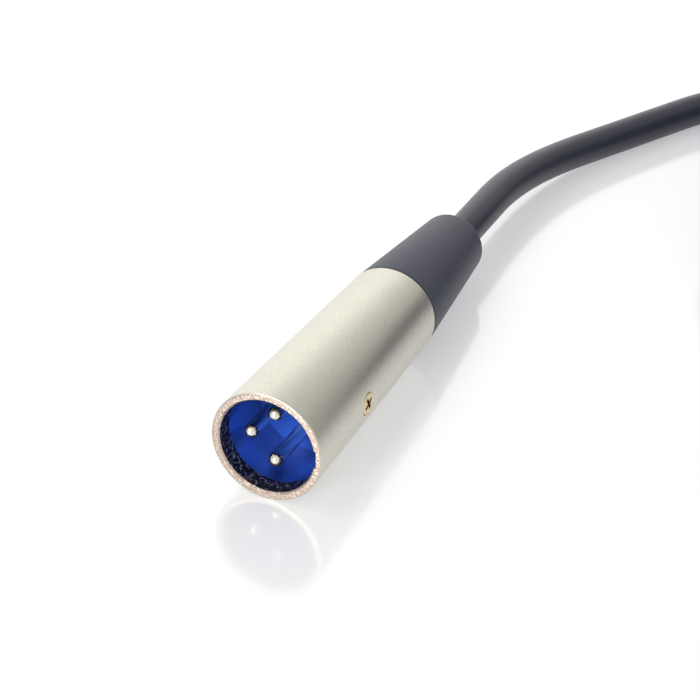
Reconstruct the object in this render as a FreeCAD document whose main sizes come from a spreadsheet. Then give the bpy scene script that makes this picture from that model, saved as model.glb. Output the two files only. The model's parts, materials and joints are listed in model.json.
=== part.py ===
"""A 2.45 m microphone lead: a male and a female 3-pin cable connector on one round cable.

The male plug lies at the origin with its axis in the YZ plane and its mouth towards -Y. Its cable runs
over the table into a tied coil, and the female connector at the other end lies beside the coil.
Millimetres, +Z up, table at Z = 0. Each connector is drawn about its own Y axis, station 0 at its mating
end, and then laid on its cone.
"""

import FreeCAD
import Part
import Sketcher
import math
import os

from FreeCAD import Placement, Rotation, Vector

OUT_FOLDER = "parts"

SIZES = {
    # male shell
    "shell_front_radius": 9.5,
    "shell_rear_radius": 8.3,
    "shell_length": 47.5,
    "shell_edge": 0.2,
    "well_radius": 8.13,
    "mouth_chamfer": 0.27,
    "keyway_width": 3.0,
    "keyway_depth": 0.4,
    "keyway_length": 10.0,
    "recess_width": 4.4,
    "recess_depth": 0.65,
    "recess_start": 6.2,
    "recess_end": 9.6,
    "rear_bore_radius": 7.2,
    "insert_face": 14.0,
    "insert_shoulder": 23.0,
    "boss_radius": 6.4,
    "boss_length": 2.5,
    # contacts of both connectors
    "contact_circle": 4.2,
    "pin_radius": 1.2,
    "pin_tip": 2.5,
    "pin_shank_radius": 1.45,
    "cup_radius": 1.7,
    "cup_bore": 1.0,
    "cup_length": 4.5,
    "cup_floor": 1.5,
    "solder_cone": 1.2,
    "wire_radius": 0.7,
    "wire_lay_radius": 2.2,
    # female shell and insert
    "barrel_radius": 7.95,
    "barrel_length": 14.5,
    "barrel_bore": 6.9,
    "female_length": 55.0,
    "female_face": 0.6,
    "female_shoulder": 34.5,
    "socket_radius": 1.75,
    "socket_bore": 1.25,
    "socket_depth": 15.0,
    "socket_entry": 1.45,
    "socket_start": 1.4,
    "socket_pocket": 40.0,
    "split_width": 0.3,
    "split_length": 10.0,
    # latch
    "channel_width": 3.8,
    "channel_floor": 3.2,
    "channel_length": 33.2,
    "hook_window_width": 3.8,
    "hook_window_start": 4.8,
    "hook_window_end": 8.7,
    "button_window_start": 15.6,
    "button_window_end": 28.6,
    "button_clearance": 0.3,
    "leaf_thickness": 0.3,
    "leaf_width": 2.0,
    "lever_width": 3.2,
    "lever_floor": 5.0,
    "lever_top": 6.2,
    "button_width": 5.0,
    "button_top": 10.0,
    "pivot_station": 31.0,
    "pivot_height": 5.3,
    "pivot_radius": 0.55,
    "pivot_length": 6.6,
    # retaining screws
    "screw_radius": 1.15,
    "screw_head_radius": 2.1,
    "screw_head_depth": 1.2,
    "screw_slot_width": 0.5,
    "screw_slot_depth": 0.7,
    "male_screw_station": 18.6,
    "female_screw_station": 22.0,
    # boot, clamp and cable
    "boot_length": 28.1,
    "boot_front_radius": 8.2,
    "boot_rear_radius": 5.95,
    "boot_gap": 0.4,
    "boot_gap_radius": 7.85,
    "boot_collar": 6.0,
    "boot_collar_radius": 7.15,
    "collar_wall": 1.15,
    "boot_cone_end": 9.0,
    "boot_round": 1.1,
    "clamp_flange": 2.0,
    "clamp_flange_radius": 6.6,
    "clamp_end": 5.0,
    "clamp_clearance": 0.05,
    "clamp_slot": 1.0,
    "sleeve_radius": 6.35,
    "sleeve_wall": 0.3,
    "sleeve_length": 9.8,
    "cable_radius": 3.15,
    "stub_reach": 6.5,
    # coil and tie
    "coil_mean_radius": 31.5,
    "coil_width": 18.9,
    "coil_height": 25.2,
    "tie_width": 14.0,
    "tie_thickness": 1.2,
}

MALE_X = 0.0
MALE_MOUTH_Y = -37.73
FEMALE_X = 104.3
FEMALE_MOUTH_Y = -37.7
COIL_CENTRE = (72.9, 96.27)
TIE_ANGLE = 290.0
# How far a cutting tool starts inside the bore that it opens.
INTO_BORE = 1.13

# Angle of each contact about the axis, from +X towards +Z, seen along +Y from the mating end.
MALE_CONTACTS = {"1": 90.0, "2": 270.0, "3": 180.0}
FEMALE_CONTACTS = {"1": 180.0, "2": 0.0, "3": 270.0}
WIRE_NAMES = {"1": "shield_drain", "2": "wire_hot", "3": "wire_cold"}

# The cable's centre line where it is not coiled: out of the male boot, down to the table, into the coil.
RUN_ROUTE = [
    (0.0, 37.85, 7.59),
    (0.0, 50.3, 7.3),
    (-0.3, 62.3, 6.6),
    (1.0, 74.3, 5.35),
    (4.2, 85.9, 4.1),
    (9.2, 97.0, 3.35),
    (15.6, 109.2, 3.15),
    (22.1, 120.8, 3.15),
    (31.6, 129.0, 3.15),
    (43.8, 133.2, 3.15),
    (57.8, 134.2, 3.15),
    (72.9, 134.07, 3.15),
]
# Off the top of the coil and down into the female boot.
TAIL_ROUTE = [
    (110.7, 96.27, 22.05),
    (110.7, 88.75, 21.9),
    (109.9, 81.1, 19.9),
    (108.5, 73.7, 16.3),
    (106.8, 66.9, 12.1),
    (105.3, 59.8, 8.9),
    (104.4, 52.5, 7.3),
    (104.3, 45.36, 7.45),
]
ARC_SHARE = 0.45

doc = FreeCAD.newDocument("microphone_lead")
sheet = doc.addObject("Spreadsheet::Sheet", "Sizes")


class Size:
    """A length that knows its value in mm and the expression that gives it in the sheet."""

    def __init__(self, value, text):
        self.value = float(value)
        self.text = str(text)

    def __add__(self, other):
        other = as_size(other)
        return Size(self.value + other.value, "(%s + %s)" % (self.text, other.text))

    def __sub__(self, other):
        other = as_size(other)
        return Size(self.value - other.value, "(%s - %s)" % (self.text, other.text))

    def __mul__(self, factor):
        return Size(self.value * factor, "(%s * %r)" % (self.text, float(factor)))


def as_size(number):
    """A Size from a Size or a plain number."""
    return number if isinstance(number, Size) else Size(number, repr(float(number)))


def fill_sheet():
    """Write the driving sizes to the sheet, each under its alias, and return them as Size objects."""
    sizes = {}
    for row, (alias, value) in enumerate(SIZES.items(), start=1):
        sheet.set("A%d" % row, alias)
        sheet.set("B%d" % row, str(value))
        sheet.setAlias("B%d" % row, alias)
        sizes[alias] = Size(value, "Sizes." + alias)
    doc.recompute()
    return sizes


S = fill_sheet()
CABLE_R = S["cable_radius"]


def bind(thing, **properties):
    """Set properties of an object and bind each one that is a Size to the sheet."""
    for name, size in properties.items():
        size = as_size(size)
        setattr(thing, name, size.value)
        thing.setExpression(name, size.text)


def new_body(name, plane_role):
    """A PartDesign body with an empty sketch on one of its origin planes."""
    body = doc.addObject("PartDesign::Body", name)
    plane = next(f for f in body.Origin.OriginFeatures if f.Role == plane_role)
    sketch = body.newObject("Sketcher::SketchObject", name + "_sketch")
    sketch.AttachmentSupport = [(plane, "")]
    sketch.MapMode = "FlatFace"
    return body, sketch


def draw_outline(sketch, corners):
    """Draw a closed outline whose corners are held by sizes from the sketch's origin."""
    corners = [(as_size(u), as_size(v)) for u, v in corners]
    points = [Vector(u.value, v.value, 0) for u, v in corners]
    count = len(points)
    for index in range(count):
        sketch.addGeometry(Part.LineSegment(points[index], points[(index + 1) % count]), False)
    for index in range(count):
        sketch.addConstraint(_corner_joint(index, count))
    for index, corner in enumerate(corners):
        for kind, size in zip(("DistanceX", "DistanceY"), corner):
            number = sketch.addConstraint(_corner_distance(kind, index, size.value))
            sketch.setExpression("Constraints[%d]" % number, size.text)


def _corner_joint(index, count):
    """The constraint that joins one side of the outline to the next."""
    return Sketcher.Constraint("Coincident", index, 2, (index + 1) % count, 1)


def _corner_distance(kind, index, value):
    """The constraint that places a side's first corner from the sketch's origin."""
    return Sketcher.Constraint(kind, -1, 1, index, 1, value)


def turned(name, corners):
    """A body turned about the local Y axis from an outline of (radius, station) corners."""
    body, sketch = new_body(name, "XY_Plane")
    draw_outline(sketch, corners)
    turn = body.newObject("PartDesign::Revolution", name + "_turn")
    turn.Profile = sketch
    turn.ReferenceAxis = (sketch, ["V_Axis"])
    turn.Angle = 360.0
    doc.recompute()
    return body, turn


def plate(name, corners, width):
    """A body padded both ways from X = 0, from an outline of (station, height) corners."""
    body, sketch = new_body(name, "YZ_Plane")
    draw_outline(sketch, corners)
    pad = body.newObject("PartDesign::Pad", name + "_pad")
    pad.Profile = sketch
    pad.Midplane = True
    bind(pad, Length=width)
    doc.recompute()
    return body


def round_edge(body, feature, station, edge_radius, fillet):
    """Round the circular edge of that radius at that station with a bound fillet."""
    names = []
    for number, edge in enumerate(feature.Shape.Edges, start=1):
        curve = edge.Curve
        if isinstance(curve, Part.Circle) and abs(curve.Radius - edge_radius.value) < 1e-4:
            if abs(curve.Center.y - station.value) < 1e-4:
                names.append("Edge%d" % number)
    rounded = body.newObject("PartDesign::Fillet", body.Name + "_round")
    rounded.Base = (feature, names)
    bind(rounded, Radius=fillet)
    doc.recompute()


def rod(name, radius, start, length, place=(0.0, 0.0)):
    """A Part cylinder along +Y from a station, at (x, z) in the section."""
    cylinder = doc.addObject("Part::Cylinder", name)
    bind(cylinder, Radius=radius, Height=length)
    x, z = place
    cylinder.Placement = Placement(Vector(x, as_size(start).value, z), Rotation(Vector(1, 0, 0), -90))
    cylinder.setExpression("Placement.Base.y", as_size(start).text)
    return cylinder


def block(name, low, high):
    """A Part box between two corners, each a triple of sizes."""
    box = doc.addObject("Part::Box", name)
    low = [as_size(value) for value in low]
    high = [as_size(value) for value in high]
    bind(box, Length=high[0] - low[0], Width=high[1] - low[1], Height=high[2] - low[2])
    box.Placement = Placement(Vector(*[value.value for value in low]), Rotation())
    for axis, value in zip("xyz", low):
        box.setExpression("Placement.Base." + axis, value.text)
    return box


def cut(name, base, tools):
    """Base without its tools, as a Part::Cut of a compound of tools."""
    return _boolean("Part::Cut", name, base, tools)


def join(name, base, others):
    """Base and the others as one solid."""
    return _boolean("Part::Fuse", name, base, others)


def _boolean(kind, name, base, others):
    """A Part boolean of a base and one or more other objects."""
    tool = others[0]
    if len(others) > 1:
        tool = doc.addObject("Part::MultiFuse", name + "_tools")
        tool.Shapes = others
    result = doc.addObject(kind, name)
    result.Base = base
    result.Tool = tool
    result.Refine = True
    doc.recompute()
    return result


def move(thing, placement):
    """Carry an object along with a placement; its own base is then no longer bound."""
    for axis in "xyz":
        thing.setExpression("Placement.Base." + axis, None)
    thing.Placement = placement.multiply(thing.Placement)


def turned_about_axis(thing, angle):
    """Turn an object about the connector's Y axis, from +X towards +Z."""
    move(thing, Placement(Vector(), Rotation(Vector(0, 1, 0), -angle)))


def around(angle, radius):
    """The (x, z) of a point on a circle about the connector's axis."""
    return radius * math.cos(math.radians(angle)), radius * math.sin(math.radians(angle))


def lying_seat(x, mouth_y, front, rear):
    """The placement that lays a connector on the table along its cone.

    front and rear are the (station, radius) ends of the cone.
    """
    tilt = math.atan2(front[1] - rear[1], rear[0] - front[0])
    height = front[1] * math.cos(tilt) + front[0] * math.sin(tilt)
    return Placement(Vector(x, mouth_y, height), Rotation(Vector(1, 0, 0), -math.degrees(tilt)))


def rounded_route(points):
    """Straight runs joined by tangent arcs, each as large as its two runs allow.

    Returns the wire and the arcs' radii.
    """
    corners = [Vector(*point) for point in points]
    edges, radii, last = [], [], corners[0]
    for before, corner, after in zip(corners, corners[1:], corners[2:]):
        back, ahead = (before - corner), (after - corner)
        reach = ARC_SHARE * min(back.Length, ahead.Length)
        half_turn = (math.pi - back.getAngle(ahead)) / 2
        radii.append(reach / math.tan(half_turn))
        back.normalize()
        ahead.normalize()
        start, end = corner + back * reach, corner + ahead * reach
        inward = back + ahead
        inward.normalize()
        sagitta = radii[-1] * (1 / math.cos(half_turn) - 1)
        edges.append(Part.LineSegment(last, start).toShape())
        edges.append(Part.Arc(start, corner + inward * sagitta, end).toShape())
        last = end
    edges.append(Part.LineSegment(last, corners[-1]).toShape())
    return Part.Wire(edges), radii


def tube(name, points, radius):
    """A round solid along a route, as a feature whose shape is swept here."""
    path, radii = rounded_route(points)
    direction = Vector(*points[1]) - Vector(*points[0])
    section = Part.Wire([Part.Circle(Vector(*points[0]), direction, radius).toShape()])
    solid = path.makePipeShell([section], True, False)
    feature = doc.addObject("Part::Feature", name)
    feature.Shape = solid
    expected = math.pi * radius**2 * path.Length
    print("%s: length %.1f, volume ratio %.4f, radii %s" % (
        name, path.Length, solid.Volume / expected, [round(value, 1) for value in radii]))
    return feature


class Piece:
    """A finished sub-part: the object that holds it, its node name and where it lies."""

    made = []

    def __init__(self, thing, label, seat=None):
        self.thing = thing
        self.label = label
        thing.Label = label
        if seat is not None:
            move(thing, seat)
        Piece.made.append(self)


class Connector:
    """What both connectors share: everything behind the insert, about one axis."""

    def __init__(self, prefix, seat, rear, shoulder, contacts):
        self.prefix = prefix
        self.seat = seat
        self.rear = rear
        self.boss_end = shoulder + S["boss_length"]
        self.shoulder = shoulder
        self.cup_end = self.boss_end + S["cup_length"]
        self.contacts = contacts

    def name(self, word):
        """A node name of this connector."""
        return self.prefix + "_" + word

    def keep(self, thing, word):
        """Name a finished object and lay it with its connector."""
        Piece(thing, self.name(word), self.seat)

    def boot(self):
        """The rubber strain relief: a threaded collar, a dark gap at the shell, and a long taper."""
        rear, end = self.rear, self.rear + S["boot_length"]
        body, turn = turned(self.name("boot_body"), [
            (S["boot_collar_radius"] - S["collar_wall"], rear - S["boot_collar"]),
            (S["boot_collar_radius"], rear - S["boot_collar"]),
            (S["boot_collar_radius"], rear),
            (S["boot_gap_radius"], rear),
            (S["boot_gap_radius"], rear + S["boot_gap"]),
            (S["boot_front_radius"], rear + S["boot_gap"]),
            (S["boot_rear_radius"], end),
            (CABLE_R, end),
            (CABLE_R, rear + S["boot_cone_end"]),
        ])
        round_edge(body, turn, end, S["boot_rear_radius"], S["boot_round"])
        self.keep(body, "boot")

    def cable_clamp(self):
        """A slotted cone that the boot squeezes onto the jacket."""
        front = self.rear - S["boot_collar"]
        start_radius = S["boot_collar_radius"] - S["collar_wall"] - S["clamp_clearance"]
        fall = S["boot_collar_radius"] - S["collar_wall"] - CABLE_R
        drop = fall.value / (S["boot_collar"] + S["boot_cone_end"]).value
        end_radius = start_radius - (S["boot_collar"] + S["clamp_end"]) * drop
        body, _ = turned(self.name("clamp_body"), [
            (CABLE_R, front - S["clamp_flange"]),
            (S["clamp_flange_radius"], front - S["clamp_flange"]),
            (S["clamp_flange_radius"], front),
            (start_radius, front),
            (end_radius, self.rear + S["clamp_end"]),
            (CABLE_R, self.rear + S["clamp_end"]),
        ])
        slots = []
        for number, angle in enumerate((30.0, 150.0, 270.0)):
            slot = block(self.name("clamp_slot_%d" % number), (1.0, front + 1.5, S["clamp_slot"] * -0.5),
                         (8.0, self.rear + S["clamp_end"] + 1.0, S["clamp_slot"] * 0.5))
            turned_about_axis(slot, angle)
            slots.append(slot)
        self.keep(cut(self.name("clamp_cut"), body, slots), "cable_clamp")

    def cable_stub(self):
        """The end of the jacket, from inside the shell to the boot's rear face."""
        start = self.rear - S["stub_reach"]
        self.keep(rod(self.name("stub"), CABLE_R, start, S["stub_reach"] + S["boot_length"]), "cable_stub")

    def insulating_sleeve(self):
        """A thin tube around the solder joints."""
        start = self.boss_end
        outside = rod(self.name("sleeve_outside"), S["sleeve_radius"], start, S["sleeve_length"])
        inside = rod(self.name("sleeve_inside"), S["sleeve_radius"] - S["sleeve_wall"], start,
                     S["sleeve_length"])
        self.keep(cut(self.name("sleeve"), outside, [inside]), "insulating_sleeve")

    def ground_lug(self, angle):
        """A tab behind the insert's flange, between its boss and the shell."""
        tab = block(self.name("lug_tab"), (S["boss_radius"] + 0.05, self.shoulder, -1.5),
                    (S["boss_radius"] + 0.6, self.shoulder + 2.4, 1.5))
        hole = doc.addObject("Part::Cylinder", self.name("lug_hole"))
        bind(hole, Radius=0.6, Height=2.0)
        hole.Placement = Placement(Vector(S["boss_radius"].value - 1.0, self.shoulder.value + 1.2, 0),
                                   Rotation(Vector(0, 1, 0), 90))
        lug = cut(self.name("lug"), tab, [hole])
        turned_about_axis(lug, angle)
        self.keep(lug, "ground_lug")

    def conductors(self):
        """Three wires from the jacket to the solder cups, and the solder in each cup."""
        joints = []
        end = self.rear - S["stub_reach"]
        start = self.cup_end + S["solder_cone"]
        for number, angle in self.contacts.items():
            stations = (start, start + 2.0, end - 2.0, end)
            radii = (S["contact_circle"], S["contact_circle"], S["wire_lay_radius"], S["wire_lay_radius"])
            points = []
            for station, radius in zip(stations, radii):
                x, z = around(angle, radius.value)
                points.append((x, station.value, z))
            word = WIRE_NAMES[number]
            self.keep(tube(self.name(word + "_tube"), points, S["wire_radius"].value), word)
            place = around(angle, S["contact_circle"].value)
            fill = rod(self.name("solder_fill_" + number), S["cup_bore"], self.boss_end + S["cup_floor"],
                       S["cup_length"] - S["cup_floor"], place)
            cone = doc.addObject("Part::Cone", self.name("solder_cone_" + number))
            bind(cone, Radius1=S["cup_bore"], Radius2=S["wire_radius"], Height=S["solder_cone"])
            cone.Placement = Placement(Vector(place[0], self.cup_end.value, place[1]),
                                       Rotation(Vector(1, 0, 0), -90))
            joints += [fill, cone]
        group = doc.addObject("Part::MultiFuse", self.name("solder"))
        group.Shapes = joints
        doc.recompute()
        self.keep(group, "solder_joints")

    def screw_tools(self, name, station, surface, tip, angle):
        """The hole and countersink that a retaining screw needs, from its tip to outside the shell."""
        slope = (S["screw_head_radius"] - S["screw_radius"]).value / S["screw_head_depth"].value
        proud = 0.8
        under_head = surface - S["screw_head_depth"].value
        shaft = self._radial_rod(name + "_screw_hole", station, tip, under_head)
        sink = doc.addObject("Part::Cone", name + "_countersink")
        bind(sink, Radius1=S["screw_radius"], Radius2=S["screw_head_radius"] + slope * proud,
             Height=S["screw_head_depth"] + proud)
        sink.Placement = Placement(Vector(under_head, station.value, 0), Rotation(Vector(0, 1, 0), 90))
        for tool in (shaft, sink):
            turned_about_axis(tool, angle)
        return [shaft, sink]

    def _radial_rod(self, name, station, inner, outer):
        """A cylinder of the screw's radius along +X between two distances from the axis."""
        shaft = doc.addObject("Part::Cylinder", name)
        bind(shaft, Radius=S["screw_radius"], Height=outer - inner)
        shaft.Placement = Placement(Vector(inner, station.value, 0), Rotation(Vector(0, 1, 0), 90))
        return shaft

    def retaining_screw(self, station, surface, tip, angle):
        """A countersunk cross-head screw whose head lies just under the shell's surface."""
        under_head = surface - S["screw_head_depth"].value
        shaft = self._radial_rod(self.name("screw_shaft"), station, tip, under_head)
        head = doc.addObject("Part::Cone", self.name("screw_head"))
        bind(head, Radius1=S["screw_radius"], Radius2=S["screw_head_radius"], Height=S["screw_head_depth"])
        head.Placement = Placement(Vector(under_head, station.value, 0), Rotation(Vector(0, 1, 0), 90))
        whole = join(self.name("screw_blank"), shaft, [head])
        half, reach = S["screw_slot_width"] * 0.5, S["screw_head_radius"] * 0.66
        bottom = as_size(surface) - S["screw_slot_depth"]
        above = surface + 1.0
        slots = [
            block(self.name("screw_slot_a"), (bottom, station - half, reach * -1.0),
                  (above, station + half, reach)),
            block(self.name("screw_slot_b"), (bottom, station - reach, half * -1.0),
                  (above, station + reach, half)),
        ]
        screw = cut(self.name("screw"), whole, slots)
        turned_about_axis(screw, angle)
        self.keep(screw, "retaining_screw")

    def fit_screw(self, station):
        """The retaining screw of this connector, in the hole that its own shell has."""
        self.retaining_screw(station, self.screw_surface, self.screw_tip, self.screw_angle)

    def rear_half(self, lug_angle):
        """Everything behind the insert."""
        self.ground_lug(lug_angle)
        self.insulating_sleeve()
        self.conductors()
        self.cable_clamp()
        self.cable_stub()
        self.boot()


class MalePlug(Connector):
    """The plug with three solid pins in a deep well."""

    screw_tip = 4.6
    screw_angle = 0.0

    def __init__(self):
        length, edge = S["shell_length"], S["shell_edge"]
        front = (edge.value, S["shell_front_radius"].value)
        rear = ((length - edge).value, S["shell_rear_radius"].value)
        super().__init__("male", lying_seat(MALE_X, MALE_MOUTH_Y, front, rear), length,
                         S["insert_shoulder"], MALE_CONTACTS)
        share = (S["male_screw_station"].value - front[0]) / (rear[0] - front[0])
        self.screw_surface = front[1] - (front[1] - rear[1]) * share - 0.03

    def shell(self):
        """The tapered sleeve: rim, mating well, keyway, latch recess, screw hole and rear bore."""
        edge, length = S["shell_edge"], S["shell_length"]
        body, _ = turned("male_shell_body", [
            (S["well_radius"] + S["mouth_chamfer"], 0.0),
            (S["shell_front_radius"] - edge, 0.0),
            (S["shell_front_radius"], edge),
            (S["shell_rear_radius"], length - edge),
            (S["shell_rear_radius"] - edge, length),
            (S["rear_bore_radius"], length),
            (S["rear_bore_radius"], S["insert_shoulder"]),
            (S["well_radius"], S["insert_shoulder"]),
            (S["well_radius"], S["mouth_chamfer"]),
        ])
        inside = S["well_radius"] - INTO_BORE
        keyway = block("male_keyway", (inside, -1.0, S["keyway_width"] * -0.5),
                       (S["well_radius"] + S["keyway_depth"], S["keyway_length"], S["keyway_width"] * 0.5))
        recess = block("male_latch_recess", (inside, S["recess_start"], S["recess_width"] * -0.5),
                       (S["well_radius"] + S["recess_depth"], S["recess_end"], S["recess_width"] * 0.5))
        tools = self.screw_tools("male_shell", S["male_screw_station"], self.screw_surface, self.screw_tip,
                                 self.screw_angle)
        self.keep(cut("male_shell_cut", body, [keyway, recess] + tools), "shell")

    def insert(self):
        """The blue insulator: a disc that fills the well, and a boss behind it."""
        body, _ = turned("male_insert_body", [
            (0.0, S["insert_face"]),
            (S["well_radius"], S["insert_face"]),
            (S["well_radius"], S["insert_shoulder"]),
            (S["boss_radius"], S["insert_shoulder"]),
            (S["boss_radius"], self.boss_end),
            (0.0, self.boss_end),
        ])
        tools = self.screw_tools("male_insert", S["male_screw_station"], self.screw_surface, self.screw_tip,
                                 self.screw_angle)
        for number, angle in self.contacts.items():
            place = around(angle, S["contact_circle"].value)
            tools.append(rod("male_pin_hole_" + number, S["pin_shank_radius"], S["insert_face"] - 1.0,
                             S["boss_length"] + 12.0, place))
        self.keep(cut("male_insert_cut", body, tools), "insert")

    def pins(self):
        """Three domed pins, each with a solder cup that is cut open on its outer side."""
        dome = S["pin_tip"] + S["pin_radius"]
        for number, angle in self.contacts.items():
            radius = S["contact_circle"].value
            shaft = rod("male_shaft_" + number, S["pin_radius"], dome, S["insert_face"] - dome,
                        (radius, 0.0))
            shank = rod("male_shank_" + number, S["pin_shank_radius"], S["insert_face"],
                        self.boss_end - S["insert_face"], (radius, 0.0))
            tip = doc.addObject("Part::Sphere", "male_tip_" + number)
            bind(tip, Radius=S["pin_radius"])
            tip.Placement = Placement(Vector(radius, dome.value, 0), Rotation())
            cup = rod("male_cup_" + number, S["cup_radius"], self.boss_end, S["cup_length"], (radius, 0.0))
            whole = join("male_pin_blank_" + number, shaft, [tip, shank, cup])
            pin = cut("male_pin_cut_" + number, whole, cup_tools("male", number, self, radius))
            turned_about_axis(pin, angle)
            self.keep(pin, "pin_" + number)


def cup_tools(prefix, number, connector, radius):
    """The bore of a solder cup and the opening in its outer side."""
    floor = connector.boss_end + S["cup_floor"]
    bore = rod("%s_cup_bore_%s" % (prefix, number), S["cup_bore"], floor, S["cup_length"], (radius, 0.0))
    opening = block("%s_cup_opening_%s" % (prefix, number), (radius + 0.9, floor + 1.0, -2.0),
                    (radius + 3.0, connector.cup_end + 1.0, 2.0))
    return [bore, opening]


class FemaleConnector(Connector):
    """The connector with three sockets in a barrel, and a sprung thumb latch."""

    screw_tip = 4.4
    screw_angle = 315.0

    def __init__(self):
        edge, length = S["shell_edge"], S["female_length"]
        front = ((S["barrel_length"] + edge).value, S["shell_front_radius"].value)
        rear = ((length - edge).value, S["shell_rear_radius"].value)
        super().__init__("female", lying_seat(FEMALE_X, FEMALE_MOUTH_Y, front, rear), length,
                         S["female_shoulder"], FEMALE_CONTACTS)
        share = (S["female_screw_station"].value - front[0]) / (rear[0] - front[0])
        self.screw_surface = front[1] - (front[1] - rear[1]) * share - 0.03

    def shell(self):
        """The barrel that enters a male plug, the tapered sleeve behind it, and the latch's two windows."""
        edge, length, barrel = S["shell_edge"], S["female_length"], S["barrel_radius"]
        body, _ = turned("female_shell_body", [
            (S["barrel_bore"], 0.0),
            (barrel - edge, 0.0),
            (barrel, edge),
            (barrel, S["barrel_length"]),
            (S["shell_front_radius"] - edge, S["barrel_length"]),
            (S["shell_front_radius"], S["barrel_length"] + edge),
            (S["shell_rear_radius"], length - edge),
            (S["shell_rear_radius"] - edge, length),
            (S["rear_bore_radius"], length),
            (S["rear_bore_radius"], S["female_shoulder"]),
            (S["barrel_bore"], S["female_shoulder"]),
        ])
        low, high = barrel * 0.6, barrel * 1.5
        hook_half = S["hook_window_width"] * 0.5
        hook_window = block("hook_window", (hook_half * -1.0, S["hook_window_start"], low),
                            (hook_half, S["hook_window_end"], high))
        button_half = S["button_width"] * 0.5 + S["button_clearance"]
        button_window = block("button_window", (button_half * -1.0, S["button_window_start"], low),
                              (button_half, S["button_window_end"], high))
        tools = self.screw_tools("female_shell", S["female_screw_station"], self.screw_surface,
                                 self.screw_tip, self.screw_angle)
        self.keep(cut("female_shell_cut", body, [hook_window, button_window] + tools), "shell")

    def insert(self):
        """The blue insulator: sockets for three contacts and a channel for the latch lever."""
        body, _ = turned("female_insert_body", [
            (0.0, S["female_face"]),
            (S["barrel_bore"], S["female_face"]),
            (S["barrel_bore"], S["female_shoulder"]),
            (S["boss_radius"], S["female_shoulder"]),
            (S["boss_radius"], self.boss_end),
            (0.0, self.boss_end),
        ])
        channel = block("latch_channel", (S["channel_width"] * -0.5, 0.0, S["channel_floor"]),
                        (S["channel_width"] * 0.5, S["channel_length"], 8.0))
        screw_hole = self._radial_rod("female_insert_screw_hole", S["female_screw_station"], self.screw_tip,
                                      8.0)
        turned_about_axis(screw_hole, self.screw_angle)
        tools = [channel, screw_hole, pivot_rod("pivot_hole", S["pivot_radius"], S["pivot_length"])]
        for number, angle in self.contacts.items():
            place = around(angle, S["contact_circle"].value)
            tools.append(rod("socket_entry_" + number, S["socket_entry"], 0.0, 2.0, place))
            tools.append(rod("socket_pocket_" + number, S["socket_radius"], S["socket_start"],
                             S["socket_pocket"], place))
        self.keep(cut("female_insert_cut", body, tools), "insert")

    def sockets(self):
        """Three split contact tubes with solder cups."""
        for number, angle in self.contacts.items():
            radius, start = S["contact_circle"].value, S["socket_start"]
            place = (radius, 0.0)
            barrel = rod("socket_barrel_" + number, S["socket_radius"], start, self.boss_end - start,
                         place)
            cup = rod("female_cup_" + number, S["cup_radius"], self.boss_end, S["cup_length"], place)
            whole = join("socket_blank_" + number, barrel, [cup])
            bore = rod("socket_bore_" + number, S["socket_bore"], 0.0, S["socket_depth"], (radius, 0.0))
            half = S["split_width"] * 0.5
            split = block("socket_split_" + number, (half * -1.0 + radius, 0.0, -3.0),
                          (half + radius, S["split_length"], 3.0))
            tools = [bore, split] + cup_tools("female", number, self, radius)
            socket = cut("socket_cut_" + number, whole, tools)
            turned_about_axis(socket, angle)
            self.keep(socket, "contact_" + number)

    def latch(self):
        """The lever with its hook and thumb button, the pin it turns on, and the leaf spring under it."""
        floor, top, button = S["lever_floor"], S["lever_top"], S["button_top"]
        bar = plate("latch_bar", [
            (5.3, floor), (29.4, floor), (30.1, 4.2), (32.2, 4.2), (32.2, 6.4), (28.2, top),
            (27.2, button - 0.9), (17.0, button - 0.9), (16.2, top), (8.1, top), (8.1, 8.5), (6.4, 8.5),
            (5.3, 7.3),
        ], S["lever_width"])
        half = S["button_width"] * 0.5
        pad = plate("latch_pad", [
            (16.9, button - 1.7), (27.3, button - 1.9), (27.0, button - 0.5), (17.6, button),
        ], half * 2.0)
        ribs = [block("button_rib_%d" % count, (half * -1.0, 18.6 + 1.7 * count, button - 0.45),
                      (half, 19.2 + 1.7 * count, button + 0.2)) for count in range(4)]
        whole = join("latch_blank", bar, [pad] + ribs)
        hole = pivot_rod("lever_hole", S["pivot_radius"] + 0.05, S["pivot_length"])
        Piece(cut("latch_cut", whole, [hole]), "latch_lever", self.seat)
        Piece(pivot_rod("pivot", S["pivot_radius"], S["pivot_length"]), "latch_pivot", self.seat)
        foot = S["channel_floor"]
        thick = S["leaf_thickness"]
        spring = plate("spring_leaf", [
            (18.5, foot), (21.0, foot), (24.5, floor - 0.35), (26.0, floor - thick),
            (26.0, floor), (24.3, floor - 0.05), (20.9, foot + thick), (18.5, foot + thick),
        ], S["leaf_width"])
        Piece(spring, "latch_spring", self.seat)


def pivot_rod(name, radius, length):
    """A cylinder across the connector on the latch's pivot line."""
    pin = doc.addObject("Part::Cylinder", name)
    bind(pin, Radius=radius, Height=length)
    base = Vector(-length.value / 2, S["pivot_station"].value, S["pivot_height"].value)
    pin.Placement = Placement(base, Rotation(Vector(0, 1, 0), 90))
    pin.setExpression("Placement.Base.y", S["pivot_station"].text)
    pin.setExpression("Placement.Base.z", S["pivot_height"].text)
    return pin


def upright(name, radius, height):
    """A Part cylinder that stands on the table at the coil's centre."""
    cylinder = doc.addObject("Part::Cylinder", name)
    bind(cylinder, Radius=radius, Height=height)
    cylinder.Placement = Placement(Vector(*COIL_CENTRE, 0), Rotation())
    return cylinder


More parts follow.
